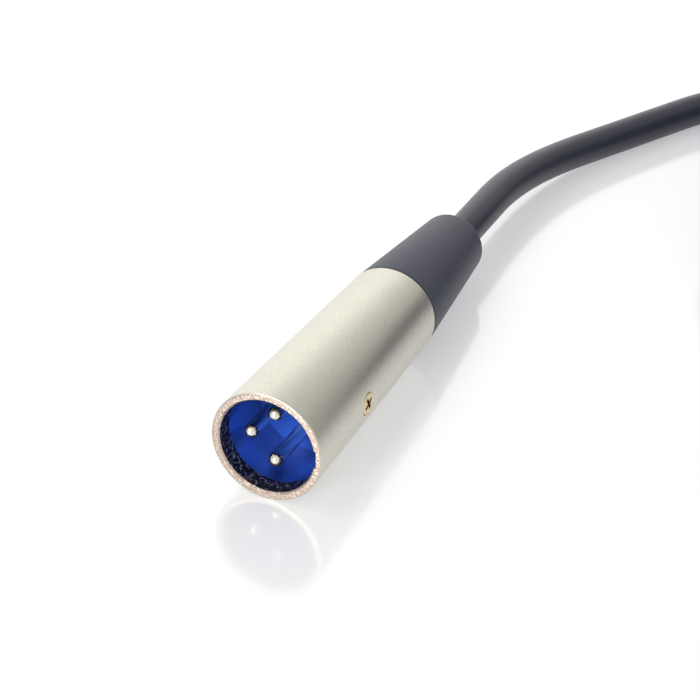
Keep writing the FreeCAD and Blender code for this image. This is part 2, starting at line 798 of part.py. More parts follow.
def cable():
    """The jacket: two tubes where it is not coiled, the ring that the turns fill, and its strap."""
    Piece(tube("run_tube", RUN_ROUTE, CABLE_R.value), "cable_run")
    Piece(tube("tail_tube", TAIL_ROUTE, CABLE_R.value), "cable_tail")
    outer = S["coil_mean_radius"] + S["coil_width"] * 0.5
    inner = S["coil_mean_radius"] - S["coil_width"] * 0.5
    half, thick = S["tie_width"] * 0.5, S["tie_thickness"]
    groove = block("tie_groove", (inner - 2.0, half * -1.0, 0.0), (outer + 2.0, half, thick))
    strap = block("tie_strap", (inner - thick - 0.8, half * -1.0, 0.0),
                  (outer + thick, half, S["coil_height"] + thick))
    turn = Placement(Vector(*COIL_CENTRE, 0), Rotation(Vector(0, 0, 1), TIE_ANGLE))
    for thing in (groove, strap):
        move(thing, turn)
    ring = upright("coil_ring", outer, S["coil_height"])
    coil = cut("coil_cut", ring, [upright("coil_hole", inner, S["coil_height"]), groove])
    Piece(coil, "cable_coil")
    Piece(cut("tie_cut", strap, [coil]), "coil_tie")


def check_and_write():
    """Stop on any failed object or bad shape, then write one STEP file for each sub-part."""
    doc.recompute()
    for thing in doc.Objects:
        if "Invalid" in thing.State or "Error" in thing.State:
            raise RuntimeError("%s did not compute" % thing.Name)
    os.makedirs(OUT_FOLDER, exist_ok=True)
    for piece in Piece.made:
        shape = piece.thing.Shape
        if shape.isNull() or not shape.isValid() or not shape.Solids:
            raise RuntimeError("%s has a bad shape" % piece.label)
        shape.exportStep(os.path.join(OUT_FOLDER, piece.label + ".step"))
        box = shape.BoundBox
        print("%-26s solids %d volume %9.2f  x %.2f %.2f  y %.2f %.2f  z %.2f %.2f" % (
            piece.label, len(shape.Solids), shape.Volume, box.XMin, box.XMax, box.YMin, box.YMax,
            box.ZMin, box.ZMax))


male = MalePlug()
male.shell()
male.insert()
male.pins()
male.fit_screw(S["male_screw_station"])
male.rear_half(lug_angle=315.0)

female = FemaleConnector()
female.shell()
female.insert()
female.sockets()
female.latch()
female.fit_screw(S["female_screw_station"])
female.rear_half(lug_angle=225.0)

cable()
check_and_write()
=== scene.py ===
"""Looks of a microphone lead: two metal connectors, their black boots, and a cable in a tied coil.

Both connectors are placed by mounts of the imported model. The cable and its strap have their own
points. Lengths are millimetres where a name or a comment says so, and MM turns them to metres.
"""

from __future__ import annotations

import json
import logging
import math
from dataclasses import dataclass
from enum import Enum

import bmesh
import bpy
from mathutils import Matrix, Vector

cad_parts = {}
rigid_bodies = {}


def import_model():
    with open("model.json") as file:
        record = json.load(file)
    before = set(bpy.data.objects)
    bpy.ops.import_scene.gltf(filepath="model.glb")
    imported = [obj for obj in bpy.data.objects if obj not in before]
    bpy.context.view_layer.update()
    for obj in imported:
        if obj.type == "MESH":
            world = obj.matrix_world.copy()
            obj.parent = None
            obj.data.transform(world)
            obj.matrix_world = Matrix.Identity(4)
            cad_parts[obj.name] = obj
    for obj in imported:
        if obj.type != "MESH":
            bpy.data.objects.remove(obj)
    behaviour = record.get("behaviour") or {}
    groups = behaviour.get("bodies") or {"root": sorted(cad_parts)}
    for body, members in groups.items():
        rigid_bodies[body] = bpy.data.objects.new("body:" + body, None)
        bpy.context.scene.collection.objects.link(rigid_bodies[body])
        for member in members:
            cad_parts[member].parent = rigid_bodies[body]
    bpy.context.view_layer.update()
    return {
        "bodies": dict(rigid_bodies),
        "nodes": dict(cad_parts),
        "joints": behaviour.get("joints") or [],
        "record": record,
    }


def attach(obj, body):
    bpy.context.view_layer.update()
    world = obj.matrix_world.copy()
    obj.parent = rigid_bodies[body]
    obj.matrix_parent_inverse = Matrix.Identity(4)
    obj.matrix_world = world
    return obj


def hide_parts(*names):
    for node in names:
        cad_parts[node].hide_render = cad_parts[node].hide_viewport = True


MM = 0.001
TURN_SEGMENTS = 192
SMALL_TURN_SEGMENTS = 64
SHARP_EDGE = math.radians(32.0)
QUARTER_TURN = math.radians(90.0)
# Millimetres shared by both connectors: the rounding of a shell's rear edge, how far a screw's head
# lies below the shell, how deep it is, its hole's radius, and how far the cut runs past the head.
REAR_ROUNDING = 0.25
SCREW_SUNK = 0.03
SCREW_HEAD_DEPTH = 1.2
SCREW_HOLE = 1.15
SINK_PAST_HEAD = 1.0
# Millimetres and degrees shared by the cable and its strap.
COIL_CENTRE = (72.9, 96.27)
STRAP_ANGLE = 290.0
LOG = logging.getLogger("microphone_lead")


class Band(Enum):
    """The material slots of a turned shell."""

    BODY = 0
    RIM = 1
    WELL = 2
    MOUTH = 3


# ---------------------------------------------------------------- helpers


def linear(hex_colour: str) -> tuple[float, float, float, float]:
    """Turn an sRGB hex colour into Blender's linear RGBA.

    Args:
        hex_colour: six hex digits, such as "C8C0B4".

    Returns:
        Linear red, green, blue and an alpha of 1.
    """
    parts = [int(hex_colour[i:i + 2], 16) / 255.0 for i in (0, 2, 4)]
    out = [c / 12.92 if c <= 0.04045 else ((c + 0.055) / 1.055) ** 2.4 for c in parts]
    return (out[0], out[1], out[2], 1.0)


def add_node(tree: bpy.types.NodeTree, kind: str, settings: dict | None = None,
             links: dict | None = None) -> bpy.types.Node:
    """Add a node, set its properties and sockets, and link its inputs.

    Args:
        tree: the node tree that gets the node.
        kind: the node's type name.
        settings: property names to values, or input names and numbers to default values.
        links: input names or numbers to output sockets.

    Returns:
        The new node.
    """
    node = tree.nodes.new(kind)
    for key, value in (settings or {}).items():
        if isinstance(key, str) and hasattr(node, key) and key not in node.inputs:
            setattr(node, key, value)
        else:
            node.inputs[key].default_value = value
    for key, socket in (links or {}).items():
        tree.links.new(socket, node.inputs[key])
    return node


def mesh_object(name: str, mesh: bpy.types.Mesh) -> bpy.types.Object:
    """Put a mesh in the scene as an object at the origin."""
    thing = bpy.data.objects.new(name, mesh)
    bpy.context.scene.collection.objects.link(thing)
    return thing


def dress(thing: bpy.types.Object, *materials: bpy.types.Material) -> bpy.types.Object:
    """Give an object these materials, in slot order, and return it. Its faces keep their slots."""
    faces = getattr(thing.data, "polygons", ())
    slots = [face.material_index for face in faces]
    thing.data.materials.clear()
    for material in materials:
        thing.data.materials.append(material)
    for face, slot in zip(faces, slots):
        face.material_index = min(slot, len(materials) - 1)
    return thing


def baked(thing: bpy.types.Object) -> bpy.types.Object:
    """Turn an object's evaluated shape into its plain mesh and drop its modifiers."""
    graph = bpy.context.evaluated_depsgraph_get()
    mesh = bpy.data.meshes.new_from_object(thing.evaluated_get(graph), depsgraph=graph)
    thing.modifiers.clear()
    old = thing.data
    thing.data = mesh
    bpy.data.meshes.remove(old)
    return thing


def soften(mesh: bpy.types.Mesh) -> None:
    """Shade a mesh smooth, with its edges kept sharp where faces meet at a clear angle."""
    work = bmesh.new()
    work.from_mesh(mesh)
    for face in work.faces:
        face.smooth = True
    for edge in work.edges:
        edge.smooth = len(edge.link_faces) == 2 and edge.calc_face_angle(0.0) < SHARP_EDGE
    work.to_mesh(mesh)
    work.free()


def finished(thing: bpy.types.Object, body: str, slot: str, *nodes: str) -> bpy.types.Object:
    """Attach a piece to the body that it rides on and hide the CAD nodes that it stands for.

    Args:
        thing: the piece.
        body: the CAD body that it moves with.
        slot: the record's material slot; not used.
        nodes: the CAD nodes that it replaces, if any.

    Returns:
        The same piece.
    """
    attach(thing, body)
    if nodes:
        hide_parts(*nodes)
    LOG.info("%s: %d faces, on %s", thing.name, len(getattr(thing.data, "polygons", ())), body)
    return thing


def arc(centre: tuple[float, float], radius: float, start: float, end: float,
        steps: int = 5) -> list[tuple[float, float]]:
    """Points of an arc in an outline, from one angle to another in degrees."""
    points = []
    for index in range(steps + 1):
        angle = math.radians(start + (end - start) * index / steps)
        points.append((centre[0] + radius * math.cos(angle), centre[1] + radius * math.sin(angle)))
    return points


@dataclass(frozen=True)
class Seat:
    """Where a connector lies: its mating end's centre and its three directions, in metres."""

    origin: Vector
    along: Vector

    @classmethod
    def from_mount(cls, frame: dict, name: str) -> "Seat":
        """Read the seat from the record's mount at the connector's mating end."""
        mount = next(m for m in frame["record"]["mounts"] if m["name"] == name)
        return cls(Vector(mount["pos_m"]), -Vector(mount["axis"]).normalized())

    def matrix(self) -> Matrix:
        """The matrix from the connector's own millimetres to the row frame's metres."""
        side = Vector((1.0, 0.0, 0.0))
        up = side.cross(self.along).normalized()
        turn = Matrix((side, self.along, up)).transposed().to_4x4()
        return Matrix.Translation(self.origin) @ turn @ Matrix.Scale(MM, 4)

    def place(self, thing: bpy.types.Object, turn: float = 0.0) -> bpy.types.Object:
        """Lay a mesh drawn in connector millimetres, first turned about the axis by degrees."""
        roll = Matrix.Rotation(math.radians(-turn), 4, "Y")
        thing.data.transform(self.matrix() @ roll)
        thing.data.update()
        return thing


def lathe(name: str, outline: list[tuple[float, float]], bands: dict[int, Band] | None = None,
          segments: int = TURN_SEGMENTS) -> bpy.types.Object:
    """Turn a closed outline about the Y axis.

    Args:
        name: the object's name.
        outline: (radius, station) corners in mm, in order round the section.
        bands: the band that starts at an outline corner's number and runs to the next number given.
        segments: how many steps the turn has.

    Returns:
        An object with the turned mesh, in mm.
    """
    work = bmesh.new()
    count = len(outline)
    rows = []
    for radius, station in outline:
        row = []
        for step in range(segments):
            angle = 2 * math.pi * step / segments
            corner = (radius * math.cos(angle), station, radius * math.sin(angle))
            row.append(work.verts.new(corner))
        rows.append(row)
    band = Band.BODY
    for index in range(count):
        band = (bands or {}).get(index, band)
        row, following = rows[index], rows[(index + 1) % count]
        for step in range(segments):
            ahead = (step + 1) % segments
            face = work.faces.new((row[step], row[ahead], following[ahead], following[step]))
            face.material_index = band.value
    bmesh.ops.remove_doubles(work, verts=work.verts, dist=1e-5)
    bmesh.ops.dissolve_degenerate(work, edges=work.edges, dist=1e-6)
    bmesh.ops.recalc_face_normals(work, faces=work.faces)
    mesh = bpy.data.meshes.new(name)
    work.to_mesh(mesh)
    work.free()
    soften(mesh)
    return mesh_object(name, mesh)


def box_mesh(name: str, low: tuple[float, float, float], high: tuple[float, float, float],
             rounding: float = 0.0) -> bpy.types.Object:
    """A box between two corners, with its edges rounded if rounding isn't 0."""
    work = bmesh.new()
    bmesh.ops.create_cube(work, size=1.0)
    for vert in work.verts:
        for k in range(3):
            vert.co[k] = low[k] + (vert.co[k] + 0.5) * (high[k] - low[k])
    if rounding:
        bmesh.ops.bevel(work, geom=work.edges[:], offset=rounding, segments=3, affect="EDGES",
                        profile=0.5)
    mesh = bpy.data.meshes.new(name)
    work.to_mesh(mesh)
    work.free()
    soften(mesh)
    return mesh_object(name, mesh)


def carve(thing: bpy.types.Object, cutters: list[bpy.types.Object]) -> bpy.types.Object:
    """Cut the cutters out of a mesh and delete them."""
    for cutter in cutters:
        cut = thing.modifiers.new("cut", "BOOLEAN")
        cut.object = cutter
        cut.operation = "DIFFERENCE"
        cut.solver = "EXACT"
    baked(thing)
    for cutter in cutters:
        bpy.data.objects.remove(cutter)
    soften(thing.data)
    return thing


# ---------------------------------------------------------------- finishes


@dataclass(frozen=True)
class Finish:
    """A plain surface: one colour, one gloss.

    Grain is a fine bump whose spacing is in mm; an unevenness spreads the roughness by that much.
    """

    name: str
    colour: str
    metallic: float = 0.0
    roughness: float = 0.4
    grain_mm: float = 0.0
    grain_height: float = 0.0
    unevenness: float = 0.0
    coat: float = 0.0
    sheen: float = 0.0

    def build(self) -> bpy.types.Material:
        """Make the material, once for each name."""
        known = bpy.data.materials.get(self.name)
        if known:
            return known
        material = bpy.data.materials.new(self.name)
        material.use_nodes = True
        tree = material.node_tree
        shader = tree.nodes["Principled BSDF"]
        shader.inputs["Base Color"].default_value = linear(self.colour)
        shader.inputs["Metallic"].default_value = self.metallic
        shader.inputs["Roughness"].default_value = self.roughness
        shader.inputs["Coat Weight"].default_value = self.coat
        shader.inputs["Sheen Weight"].default_value = self.sheen
        if self.grain_mm:
            self.add_grain(tree, shader)
        self.add_pattern(tree, shader)
        return material

    def add_grain(self, tree: bpy.types.NodeTree, shader: bpy.types.Node) -> None:
        """Bump the surface with a fine grain and let the grain vary its gloss."""
        place = add_node(tree, "ShaderNodeTexCoord")
        noise = add_node(tree, "ShaderNodeTexNoise",
                         {"Scale": 1.0 / (self.grain_mm * MM), "Detail": 3.0, "Roughness": 0.65},
                         {"Vector": place.outputs["Object"]})
        bump = add_node(tree, "ShaderNodeBump",
                        {"Strength": 1.0, "Distance": self.grain_height * MM},
                        {"Height": noise.outputs["Fac"]})
        tree.links.new(bump.outputs["Normal"], shader.inputs["Normal"])
        if self.unevenness:
            spread = add_node(tree, "ShaderNodeMapRange",
                              {"From Min": 0.3, "From Max": 0.7,
                               "To Min": self.roughness - self.unevenness,
                               "To Max": self.roughness + self.unevenness},
                              {"Value": noise.outputs["Fac"]})
            tree.links.new(spread.outputs["Result"], shader.inputs["Roughness"])

    def add_pattern(self, tree: bpy.types.NodeTree, shader: bpy.types.Node) -> None:
        """A plain finish has no pattern."""


@dataclass(frozen=True)
class SpeckledMetal(Finish):
    """Blasted and plated zinc: tiny brighter and darker flecks where the grit struck. The
    near-white flecks, on the rim and in the mouth, are painted glints.
    """

    speckle_and_glint: str = "FFFFFF"
    speckle_and_glint_mm: float = 0.35
    speckle_and_glint_share: float = 0.5

    def add_pattern(self, tree: bpy.types.NodeTree, shader: bpy.types.Node) -> None:
        """Mix the fleck colour in by a fine noise; near-white flecks are painted glints."""
        place = add_node(tree, "ShaderNodeTexCoord")
        noise = add_node(tree, "ShaderNodeTexNoise",
                         {"Scale": 1.0 / (self.speckle_and_glint_mm * MM), "Detail": 2.0, "Roughness": 0.7},
                         {"Vector": place.outputs["Object"]})
        share = add_node(tree, "ShaderNodeMapRange",
                         {"From Min": 0.52, "From Max": 0.68,
                          "To Min": 0.0, "To Max": self.speckle_and_glint_share},
                         {"Value": noise.outputs["Fac"]})
        mix = add_node(tree, "ShaderNodeMix",
                       {"data_type": "RGBA"}, {0: share.outputs["Result"]})
        mix.inputs[6].default_value = linear(self.colour)
        mix.inputs[7].default_value = linear(self.speckle_and_glint)
        tree.links.new(mix.outputs[2], shader.inputs["Base Color"])


@dataclass(frozen=True)
class Webbing(Finish):
    """Hook-and-loop strap: a woven ground with a fuzzy face."""

    thread_mm: float = 0.5

    def add_pattern(self, tree: bpy.types.NodeTree, shader: bpy.types.Node) -> None:
        """Bump the face with crossing threads."""
        place = add_node(tree, "ShaderNodeTexCoord")
        waves = []
        for direction in ("X", "Z"):
            waves.append(add_node(tree, "ShaderNodeTexWave",
                                  {"bands_direction": direction, "Distortion": 2.0,
                                   "Scale": 1.0 / (self.thread_mm * MM) / 3.0},
                                  {"Vector": place.outputs["Object"]}))
        both = add_node(tree, "ShaderNodeMath", {"operation": "MULTIPLY"},
                        {0: waves[0].outputs["Fac"], 1: waves[1].outputs["Fac"]})
        bump = add_node(tree, "ShaderNodeBump", {"Strength": 0.6, "Distance": 0.25 * MM},
                        {"Height": both.outputs["Value"]})
        tree.links.new(bump.outputs["Normal"], shader.inputs["Normal"])


# Zinc, bead-blasted and nickel-plated: a warm satin grey with a fine grain.
SATIN_NICKEL = SpeckledMetal("satin_blasted_nickel", "D8D5CA", metallic=1.0, roughness=0.36,
                             grain_mm=0.28, grain_height=0.022, unevenness=0.06,
                             speckle_and_glint="BBB4A2", speckle_and_glint_mm=0.30, speckle_and_glint_share=0.6)
# The turned rim: the same plate, brighter, with coarse sparkle painted in as near-white flecks
# (painted glints).
RIM_NICKEL = SpeckledMetal("turned_rim_nickel", "C3AFA0", metallic=1.0, roughness=0.22,
                           grain_mm=0.45, grain_height=0.09, unevenness=0.10,
                           speckle_and_glint="FFF8EC", speckle_and_glint_mm=0.34, speckle_and_glint_share=0.7)
# The well's wall: smooth, and it mirrors the blue insulator; its slightly blue grey base colour is
# a painted reflection of the blue insulator.
WELL_NICKEL = Finish("smooth_well_nickel", "A0AFC4", metallic=1.0, roughness=0.14,
                     grain_mm=1.2, grain_height=0.01)
# The first few millimetres of the well: rough casting, dull, with a dark brownish base colour that
# is painted shade of the shaded well mouth, and near-white flecks that are painted glints.
MOUTH_NICKEL_PAINTED_SHADE = SpeckledMetal("rough_cast_nickel_painted_shade", "3C3431", metallic=1.0, roughness=0.30,
                             grain_mm=0.55, grain_height=0.36, unevenness=0.12,
                             speckle_and_glint="FFF2DC", speckle_and_glint_mm=0.5, speckle_and_glint_share=1.0)
# Glass-filled nylon insulator, moulded in deep blue, half gloss.
BLUE_NYLON = Finish("blue_moulded_nylon", "3069EC", roughness=0.36, grain_mm=0.6, grain_height=0.01)
# Silver-plated contact brass, polished.
SILVER_PLATE = Finish("silver_plated_contact", "E4E0D8", metallic=1.0, roughness=0.14)
# Bright nickel-plated steel screw.
SCREW_NICKEL = Finish("bright_nickel_screw", "DDC9A0", metallic=1.0, roughness=0.2)
SPRING_STEEL = Finish("spring_steel", "B8B6B2", metallic=1.0, roughness=0.25)
TINNED_STRIP = Finish("tinned_strip", "C8C6C0", metallic=1.0, roughness=0.32)
TINNED_COPPER = Finish("tinned_copper_strands", "C4B8A8", metallic=1.0, roughness=0.35)
SOLDER = Finish("bright_solder", "C6C8CA", metallic=1.0, roughness=0.22,
                grain_mm=0.5, grain_height=0.05)
# Thermoplastic elastomer boot: black, moulded with a fine texture, broad soft highlight.
BOOT_RUBBER = Finish("black_elastomer_boot", "40424F", roughness=0.46,
                     grain_mm=0.25, grain_height=0.012, unevenness=0.04)
# PVC jacket: black, satin, very slightly mottled along its length.
JACKET_PVC = Finish("black_pvc_jacket", "30323F", roughness=0.36, grain_mm=0.9, grain_height=0.03,
                    unevenness=0.05)
LATCH_PLASTIC = Finish("black_gloss_acetal", "17171A", roughness=0.3,
                       grain_mm=0.4, grain_height=0.01)
NATURAL_ACETAL = Finish("natural_acetal", "DAD6C8", roughness=0.42)
CLEAR_TUBE = Finish("milky_insulating_tube", "CFCFCA", roughness=0.35)
RED_PVC = Finish("red_core_pvc", "B01C1C", roughness=0.36)
WHITE_PVC = Finish("white_core_pvc", "DADAD6", roughness=0.36)
STRAP = Webbing("black_hook_and_loop", "161617", roughness=0.85, sheen=0.5, thread_mm=0.6)
THREAD = Finish("grey_polyester_thread", "5A5A5C", roughness=0.7)

NODE_FINISHES = {
    "insert": BLUE_NYLON, "contacts": SILVER_PLATE, "screw": SCREW_NICKEL, "lug": TINNED_STRIP,
    "sleeve": CLEAR_TUBE, "bare_wire": TINNED_COPPER, "wire_hot": RED_PVC, "wire_cold": WHITE_PVC,
    "solder": SOLDER, "clamp": NATURAL_ACETAL, "jacket": JACKET_PVC, "boot": BOOT_RUBBER,
    "shell": SATIN_NICKEL,
    "latch": LATCH_PLASTIC, "latch_metal": SPRING_STEEL, "tie": STRAP,
}


# ---------------------------------------------------------------- studio


@dataclass(frozen=True)
class Glow:
    """A soft patch of the surroundings: where it is, how wide, and how bright beside the rest."""

    towards: tuple[float, float, float]
    inner: float
    outer: float
    gain: float


@dataclass
class Studio:
    """Camera, table and light: a glossy white table in a bright room."""

    eye_mm: tuple[float, float, float] = (134.89, -299.42, 208.51)
    look: tuple[float, float, float] = (-0.35620, 0.77312, -0.52479)
    lens_mm: float = 118.3
    table_m: float = 6.0
    table_glow: float = 0.5
    room: float = 0.66
    glows: tuple[Glow, ...] = (
        Glow((-0.62, 0.76, 0.10), 0.60, 0.98, 0.66),
        Glow((-0.15, 0.77, 0.60), 0.86, 0.99, 0.20),
        Glow((0.62, 0.74, 0.20), 0.93, 0.995, -0.22),
        Glow((0.2, -0.9, 0.35), 0.2, 0.95, 0.20),
    )

    def camera(self) -> None:
        """A long lens from above and to the right of the plug's mouth."""
        data = bpy.data.cameras.new("camera")
        data.lens = self.lens_mm
        data.sensor_width = 36.0
        data.clip_start = 0.01
        camera = bpy.data.objects.new("camera", data)
        bpy.context.scene.collection.objects.link(camera)
        camera.location = Vector(self.eye_mm) * MM
        camera.rotation_euler = Vector(self.look).to_track_quat("-Z", "Y").to_euler()
        bpy.context.scene.camera = camera

    def table(self) -> None:
        """Milky table top that glows faintly, with a clear gloss and a faint mirror in it."""
        work = bmesh.new()
        bmesh.ops.create_grid(work, x_segments=1, y_segments=1, size=self.table_m / 2)
        mesh = bpy.data.meshes.new("table_top")
        work.to_mesh(mesh)
        work.free()
        top = mesh_object("table_top", mesh)
        finish = Finish("white_gloss_table", "B4B5B6", roughness=0.5, coat=1.0)
        material = finish.build()
        shader = material.node_tree.nodes["Principled BSDF"]
        shader.inputs["Specular IOR Level"].default_value = 0.2
        shader.inputs["Coat Roughness"].default_value = 0.13
        shader.inputs["Coat IOR"].default_value = 2.0
        shader.inputs["Emission Color"].default_value = linear("FDFEFF")
        shader.inputs["Emission Strength"].default_value = self.table_glow
        dress(top, material)

    def surroundings(self) -> None:
        """A bright room whose walls differ: a window side, a darker side and a light ceiling."""
        world = bpy.data.worlds.new("room")
        bpy.context.scene.world = world
        world.use_nodes = True
        tree = world.node_tree
        place = add_node(tree, "ShaderNodeTexCoord")
        level = None
        for glow in self.glows:
            facing = add_node(tree, "ShaderNodeVectorMath",
                              {"operation": "DOT_PRODUCT", 1: Vector(glow.towards).normalized()},
                              {0: place.outputs["Generated"]})
            patch = add_node(tree, "ShaderNodeMapRange",
                             {"interpolation_type": "SMOOTHSTEP", "From Min": glow.inner,
                              "From Max": glow.outer, "To Min": 0.0, "To Max": glow.gain},
                             {"Value": facing.outputs["Value"]})
            if level is None:
                level = add_node(tree, "ShaderNodeMath", {"operation": "ADD", 1: self.room},
                                 {0: patch.outputs["Result"]})
            else:
                level = add_node(tree, "ShaderNodeMath", {"operation": "ADD"},
                                 {0: level.outputs["Value"], 1: patch.outputs["Result"]})
        background = tree.nodes["Background"]
        background.inputs["Color"].default_value = linear("FFFEFC")
        tree.links.new(level.outputs["Value"], background.inputs["Strength"])

    def softbox(self, name: str, place: tuple[float, float, float], aim: tuple[float, float, float],
                size: float, power: float) -> None:
        """A square soft light at a place in metres, aimed at a point."""
        data = bpy.data.lights.new(name, "AREA")
        data.size = size
        data.energy = power
        light = bpy.data.objects.new(name, data)
        bpy.context.scene.collection.objects.link(light)
        light.location = place
        light.rotation_euler = (Vector(aim) - Vector(place)).to_track_quat("-Z", "Y").to_euler()

    def build(self) -> None:
        """Set up the whole studio."""
        view = bpy.context.scene.view_settings
        view.view_transform = "Standard"
        view.look = "None"
        self.camera()
        self.table()
        self.surroundings()
        self.softbox("key", (-0.55, -0.05, 0.95), (0.0, 0.0, 0.0), 0.6, 2.4)
        self.softbox("front", (-0.12, -0.80, 0.30), (0.0, -0.03, 0.01), 0.30, 3.2)


# ---------------------------------------------------------------- connectors


@dataclass
class BootPiece:
    """The black strain relief behind a shell: straight taper, soft rear shoulder. Sizes in mm."""

    prefix: str
    seat: Seat
    rear: float
    length: float = 28.1
    front_radius: float = 8.2
    rear_radius: float = 5.95
    gap: float = 0.4
    gap_radius: float = 7.85
    collar: float = 6.0
    collar_radius: float = 7.15
    bore: float = 3.15
    cone_radius: float = 6.0
    cone_end: float = 9.0
    shoulder: float = 1.15
    lip: float = 0.25
    mouth_flare: float = 0.35
    mouth_top: float = 0.12
    mouth_depth: float = 0.45

    def build(self) -> bpy.types.Object:
        """Turn the boot's outline and lay it with its connector."""
        rear, end = self.rear, self.rear + self.length
        lip, shoulder = self.lip, self.shoulder
        outline = [(self.cone_radius, rear - self.collar), (self.collar_radius, rear - self.collar),
                   (self.collar_radius, rear), (self.gap_radius, rear),
                   (self.gap_radius, rear + self.gap)]
        outline += arc((self.front_radius - lip, rear + self.gap + lip), lip, -90.0, 0.0)
        outline += arc((self.rear_radius - shoulder, end - shoulder), shoulder, 0.0, 80.0, 8)
        outline += [(self.bore + self.mouth_flare, end - self.mouth_top),
                    (self.bore, end - self.mouth_depth), (self.bore, rear + self.cone_end)]
        boot = lathe(self.prefix + "_boot_skin", outline)
        dress(self.seat.place(boot), BOOT_RUBBER.build())
        return finished(boot, "lead", "boot", self.prefix + "_boot")


@dataclass
class MaleShell:
    """The plug's tapered sleeve, with its rim, its rough mouth and its smooth well. Sizes in mm."""

    seat: Seat
    front_radius: float = 9.5
    rear_radius: float = 8.3
    length: float = 47.5
    edge: float = 0.32
    well: float = 8.13
    mouth_chamfer: float = 0.27
    rough_depth: float = 3.4
    shoulder: float = 23.0
    rear_bore: float = 7.2
    screw_station: float = 18.6
    screw_head: float = 2.1
    rim_corners: int = 3

    def surface(self) -> float:
        """The shell's radius at the screw."""
        share = self.screw_station / self.length
        return self.front_radius - (self.front_radius - self.rear_radius) * share

    def build(self) -> bpy.types.Object:
        """Turn the sleeve, cut its keyway, latch recess and screw hole, and lay it."""
        edge, length = self.edge, self.length
        outer = arc((self.front_radius - edge, edge), edge, -90.0, 0.0, 6)
        back = rear_edge(self.rear_radius, length)
        outline = [(self.well + self.mouth_chamfer, 0.0)] + outer + back
        first_inner = len(outline)
        outline += [(self.rear_bore, length), (self.rear_bore, self.shoulder),
                    (self.well, self.shoulder), (self.well, self.rough_depth),
                    (self.well, self.mouth_chamfer)]
        bands = {0: Band.RIM, self.rim_corners: Band.BODY, first_inner + 2: Band.WELL,
                 first_inner + 3: Band.MOUTH, first_inner + 4: Band.RIM}
        shell = lathe("male_shell_skin", outline, bands)
        dress(shell, SATIN_NICKEL.build(), RIM_NICKEL.build(), WELL_NICKEL.build(),
              MOUTH_NICKEL_PAINTED_SHADE.build())
        under = self.surface() - SCREW_SUNK - SCREW_HEAD_DEPTH
        slope = (self.screw_head - SCREW_HOLE) / SCREW_HEAD_DEPTH
        sink_end = self.screw_head + slope * SINK_PAST_HEAD
        cutters = [
            box_mesh("keyway", (7.0, -1.0, -1.5), (self.well + 0.4, 10.0, 1.5)),
            box_mesh("recess", (7.0, 6.2, -2.2), (self.well + 0.65, 9.6, 2.2)),
            countersink("sink", self.screw_station, under, sink_end),
        ]
        carve(shell, cutters)
        self.seat.place(shell)
        return finished(shell, "lead", "shell", "male_shell")


def rear_edge(radius: float, length: float) -> list[tuple[float, float]]:
    """The rounded edge at a shell's rear end, in mm."""
    centre = (radius - REAR_ROUNDING, length - REAR_ROUNDING)
    return arc(centre, REAR_ROUNDING, 0.0, 90.0, 4)


def countersink(name: str, station: float, start: float, top_radius: float,
                shaft_depth: float = 5.0) -> bpy.types.Object:
    """A screw's hole along +X, in mm: a shaft that runs inwards and a cone that opens outwards."""
    depth = SCREW_HEAD_DEPTH + SINK_PAST_HEAD
    outline = [(0.0, -shaft_depth), (SCREW_HOLE, -shaft_depth), (SCREW_HOLE, 0.0),
               (top_radius, depth), (0.0, depth)]
    tool = lathe(name, outline, segments=SMALL_TURN_SEGMENTS)
    lie_down = Matrix.Rotation(-QUARTER_TURN, 4, "Z")
    tool.data.transform(Matrix.Translation((start, station, 0.0)) @ lie_down)
    return tool


@dataclass
class ScrewHead:
    """A countersunk cross-head screw, its edge and its slots softened. Sizes in mm."""

    prefix: str
    seat: Seat
    station: float
    surface: float
    turn: float
    tip: float
    head: float = 1.84
    shaft: float = 1.13
    depth: float = 1.2
    slot: float = 0.62
    slot_depth: float = 0.9
    slot_reach: float = 0.66
    slot_rounding: float = 0.08
    rounding: float = 0.16
    cross_turn: float = 0.5

    def build(self) -> bpy.types.Object:
        """Turn the screw with a slightly domed top, cut its cross, and lay it in its hole.

        slot_reach is a share of the head's radius, and cross_turn is in radians.
        """
        under = -self.depth
        shaft_end = self.tip - self.surface
        outline = [(0.0, shaft_end), (self.shaft, shaft_end), (self.shaft, under)]
        outline += arc((self.head - self.rounding, -self.rounding), self.rounding, -20.0, 90.0, 5)
        outline += [(0.8, 0.06), (0.0, 0.09)]
        screw = lathe(self.prefix + "_screw_skin", outline, segments=72)
        half, reach, floor = self.slot / 2, self.head * self.slot_reach, -self.slot_depth
        cutters = [
            box_mesh("slot_a", (-half, floor, -reach), (half, 1.0, reach), self.slot_rounding),
            box_mesh("slot_b", (-reach, floor, -half), (reach, 1.0, half), self.slot_rounding),
        ]
        carve(screw, cutters)
        move = Matrix.Translation((self.surface, self.station, 0.0))
        lie_down = Matrix.Rotation(-QUARTER_TURN, 4, "Z")
        screw.data.transform(move @ lie_down @ Matrix.Rotation(self.cross_turn, 4, "Y"))
        dress(self.seat.place(screw, self.turn), SCREW_NICKEL.build())
        return finished(screw, "lead", "screw", self.prefix + "_retaining_screw")


@dataclass
class PinRow:
    """Low collars moulded round the plug's pins on the insulator's face. Sizes in mm."""

    seat: Seat
    circle: float = 4.2
    face: float = 14.0
    pin: float = 1.2
    collar: float = 1.75
    height: float = 0.35
    clearance: float = 0.03
    rounding: float = 0.12

    def build(self) -> None:
        """One low collar for each pin."""
        for number, angle in (("1", 90.0), ("2", 270.0), ("3", 180.0)):
            hole, top, rounding = self.pin + self.clearance, self.face - self.height, self.rounding
            outline = [(hole, self.face), (hole, top)]
            outline += arc((self.collar - rounding, top + rounding), rounding, -90.0, 0.0, 4)
            outline += [(self.collar, self.face)]
            ring = lathe("male_pin_collar_" + number, outline, segments=SMALL_TURN_SEGMENTS)
            ring.data.transform(Matrix.Translation((self.circle, 0.0, 0.0)))
            dress(self.seat.place(ring, angle), BLUE_NYLON.build())
            finished(ring, "lead", "insert")


